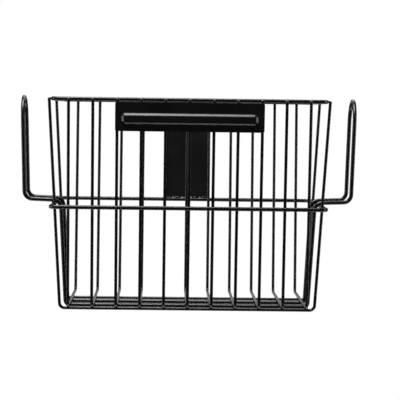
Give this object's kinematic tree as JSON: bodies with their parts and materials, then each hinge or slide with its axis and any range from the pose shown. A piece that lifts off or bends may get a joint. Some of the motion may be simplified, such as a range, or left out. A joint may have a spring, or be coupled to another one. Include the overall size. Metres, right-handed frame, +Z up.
{
  "type": "handlebar basket",
  "caption": "Black coated wire basket with a front plate and side carrying loops, lifted off a clamp on a steering column.",
  "frame": {"origin": "on the steering column's axis, halfway up the clamp that holds the basket", "axes": "+X across the basket, +Y from the basket's front to the column, +Z up"},
  "size_m": [0.4, 0.2669, 0.2521],
  "materials": {
    "wire_coating": "satin",
    "sheet_coating": "satin",
    "bracket_coating": "matte",
    "zinc_steel": "satin",
    "liner_rubber": "matte",
    "pad_nylon": "matte"
  },
  "bodies": {
    "bracket": {"clamp_bolt_lower_left": "zinc_steel", "clamp_bolt_lower_right": "zinc_steel", "clamp_bolt_upper_left": "zinc_steel", "clamp_bolt_upper_right": "zinc_steel", "clamp_front_half": "bracket_coating", "clamp_nut_lower_left": "zinc_steel", "clamp_nut_lower_right": "zinc_steel", "clamp_nut_upper_left": "zinc_steel", "clamp_nut_upper_right": "zinc_steel", "clamp_rear_half": "bracket_coating", "front_liner": "liner_rubber", "rear_liner": "liner_rubber", "tongue_plate": "bracket_coating", "tongue_screw_1": "zinc_steel", "tongue_screw_2": "zinc_steel"},
    "basket": {"front_plate": "sheet_coating", "front_side_wire": "wire_coating", "hanger_sleeve": "sheet_coating", "left_carry_loop": "wire_coating", "left_glide_pad": "pad_nylon", "long_wire_01": "wire_coating", "long_wire_02": "wire_coating", "long_wire_03": "wire_coating", "long_wire_04": "wire_coating", "long_wire_05": "wire_coating", "long_wire_06": "wire_coating", "long_wire_07": "wire_coating", "long_wire_08": "wire_coating", "long_wire_09": "wire_coating", "long_wire_10": "wire_coating", "long_wire_11": "wire_coating", "mid_ring": "wire_coating", "rear_side_wire": "wire_coating", "right_carry_loop": "wire_coating", "right_glide_pad": "pad_nylon", "top_rim": "wire_coating"}
  },
  "joints": [
    {"name": "basket_lift", "type": "slide", "parent": "bracket", "child": "basket", "axis": [0, 0.0889, 0.996], "range_m": [0, 0.125]}
  ]
}
